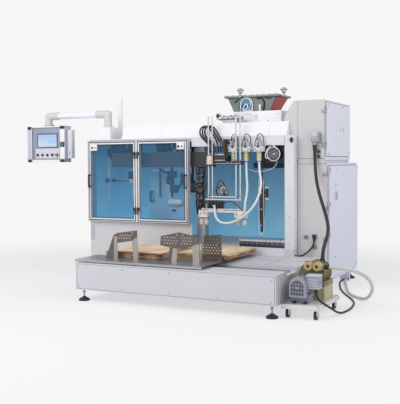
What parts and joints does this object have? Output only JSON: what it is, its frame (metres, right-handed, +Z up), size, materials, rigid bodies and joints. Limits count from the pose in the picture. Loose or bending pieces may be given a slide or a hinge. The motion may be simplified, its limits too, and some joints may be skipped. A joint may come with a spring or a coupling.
{
  "type": "bag placing machine",
  "caption": "Automatic bag placing machine: low base with sliding bag magazine, guarded body with suction picker, hopper, switch cabinets, pendant panel and vacuum pump cart.",
  "frame": {"origin": "floor level, under the middle of the machine's overall length and depth", "axes": "+X to the operator's right along the base, +Y from the base towards the body, +Z up"},
  "size_m": [4.6717, 2.735, 2.26],
  "materials": {
    "white_paint": "powder coated",
    "cream_paint": "powder coated",
    "stainless": "brushed",
    "aluminium_profile": "anodised",
    "blue_glazing": "tinted",
    "dark_cover": "matt",
    "black_rubber": "matt",
    "kraft_paper": "matt",
    "white_plastic": "satin",
    "screen_glass": "lit",
    "button_red": "gloss",
    "hopper_steel": "dull",
    "motor_grey": "satin",
    "pump_olive": "satin"
  },
  "bodies": {
    "frame": {"base_housing": "white_paint", "guide_rails": "stainless", "levelling_feet": "black_rubber", "lower_housing": "cream_paint", "front_panel": "cream_paint", "body_posts": "aluminium_profile", "portal_post": "white_paint", "portal_beam": "white_paint", "bay_sill": "white_paint", "roof_plate": "white_paint", "blue_panels": "blue_glazing", "hood": "white_paint", "guard_frame": "aluminium_profile", "upper_cabinet": "white_paint", "upper_cabinet_door": "white_paint", "lower_cabinet": "white_paint", "body_fittings": "dark_cover", "hopper": "hopper_steel", "hopper_fittings": "stainless", "inlet_valve": "stainless", "roof_boxes": "white_paint", "linear_beam": "dark_cover", "lift_head": "dark_cover", "filter_unit": "white_plastic", "blower_box": "dark_cover", "opener_arm": "dark_cover", "clamp_rig": "stainless", "cart_deck": "white_paint", "pump_motor": "motor_grey", "pump_body": "pump_olive", "vacuum_hose": "black_rubber", "return_hose": "white_plastic", "motor_cable": "black_rubber", "machine_cables": "black_rubber", "lift_hoses": "white_plastic"},
    "guard_door_left": {"door_left_frame": "aluminium_profile", "door_left_glass": "blue_glazing", "door_left_handle": "dark_cover"},
    "guard_door_right": {"door_right_frame": "aluminium_profile", "door_right_glass": "blue_glazing", "door_right_handle": "dark_cover"},
    "magazine": {"magazine_plate": "stainless", "rail_carriages": "stainless", "bag_guides": "stainless", "bag_stacks": "kraft_paper"},
    "picker_lift": {"lift_frame": "stainless", "suction_bar": "aluminium_profile"},
    "swing_arm": {"panel_arm": "white_paint"},
    "pendant": {"pendant_case": "aluminium_profile", "pendant_screen": "screen_glass", "pendant_buttons": "button_red"},
    "cabinet_door": {"lower_cabinet_door": "white_paint"},
    "fork_1": {"caster_fork_1": "stainless"},
    "wheel_1": {"caster_wheel_1": "black_rubber"},
    "fork_2": {"caster_fork_2": "stainless"},
    "wheel_2": {"caster_wheel_2": "black_rubber"},
    "fork_3": {"caster_fork_3": "stainless"},
    "wheel_3": {"caster_wheel_3": "black_rubber"},
    "fork_4": {"caster_fork_4": "stainless"},
    "wheel_4": {"caster_wheel_4": "black_rubber"}
  },
  "joints": [
    {"name": "guard_left_hinge", "type": "hinge", "parent": "frame", "child": "guard_door_left", "pos_m": [-0.4705, -0.0695, 1.2], "axis": [0, 0, 1], "range_deg": [0, 85]},
    {"name": "guard_right_hinge", "type": "hinge", "parent": "frame", "child": "guard_door_right", "pos_m": [-0.4345, -0.0695, 1.2], "axis": [0, 0, -1], "range_deg": [0, 85]},
    {"name": "magazine_slide", "type": "slide", "parent": "frame", "child": "magazine", "axis": [1, 0, 0], "range_m": [0, 0.7]},
    {"name": "picker_slide", "type": "slide", "parent": "frame", "child": "picker_lift", "axis": [0, 0, -1], "range_m": [-0.12, 0.2], "deforming": ["lift_hoses"]},
    {"name": "arm_swivel", "type": "hinge", "parent": "frame", "child": "swing_arm", "pos_m": [-0.96, 0.1125, 2.028], "axis": [0, 0, 1], "range_deg": [-45, 45]},
    {"name": "pendant_swivel", "type": "hinge", "parent": "swing_arm", "child": "pendant", "pos_m": [-1.875, 0.1125, 1.9], "axis": [0, 0, 1], "range_deg": [-90, 90]},
    {"name": "cabinet_hinge", "type": "hinge", "parent": "frame", "child": "cabinet_door", "pos_m": [1.8375, 0.1105, 0.7], "axis": [0, 0, -1], "range_deg": [0, 110]},
    {"name": "caster_1_swivel", "type": "hinge", "parent": "frame", "child": "fork_1", "pos_m": [1.865, -1.2325, 0.09], "axis": [0, 0, 1], "continuous": true},
    {"name": "caster_1_roll", "type": "hinge", "parent": "fork_1", "child": "wheel_1", "pos_m": [1.865, -1.2145, 0.04], "axis": [1, 0, 0], "continuous": true},
    {"name": "caster_2_swivel", "type": "hinge", "parent": "frame", "child": "fork_2", "pos_m": [2.13, -1.2325, 0.09], "axis": [0, 0, 1], "continuous": true},
    {"name": "caster_2_roll", "type": "hinge", "parent": "fork_2", "child": "wheel_2", "pos_m": [2.13, -1.2145, 0.04], "axis": [1, 0, 0], "continuous": true},
    {"name": "caster_3_swivel", "type": "hinge", "parent": "frame", "child": "fork_3", "pos_m": [1.865, -0.6625, 0.09], "axis": [0, 0, 1], "continuous": true},
    {"name": "caster_3_roll", "type": "hinge", "parent": "fork_3", "child": "wheel_3", "pos_m": [1.865, -0.6445, 0.04], "axis": [1, 0, 0], "continuous": true},
    {"name": "caster_4_swivel", "type": "hinge", "parent": "frame", "child": "fork_4", "pos_m": [2.13, -0.6625, 0.09], "axis": [0, 0, 1], "continuous": true},
    {"name": "caster_4_roll", "type": "hinge", "parent": "fork_4", "child": "wheel_4", "pos_m": [2.13, -0.6445, 0.04], "axis": [1, 0, 0], "continuous": true}
  ]
}
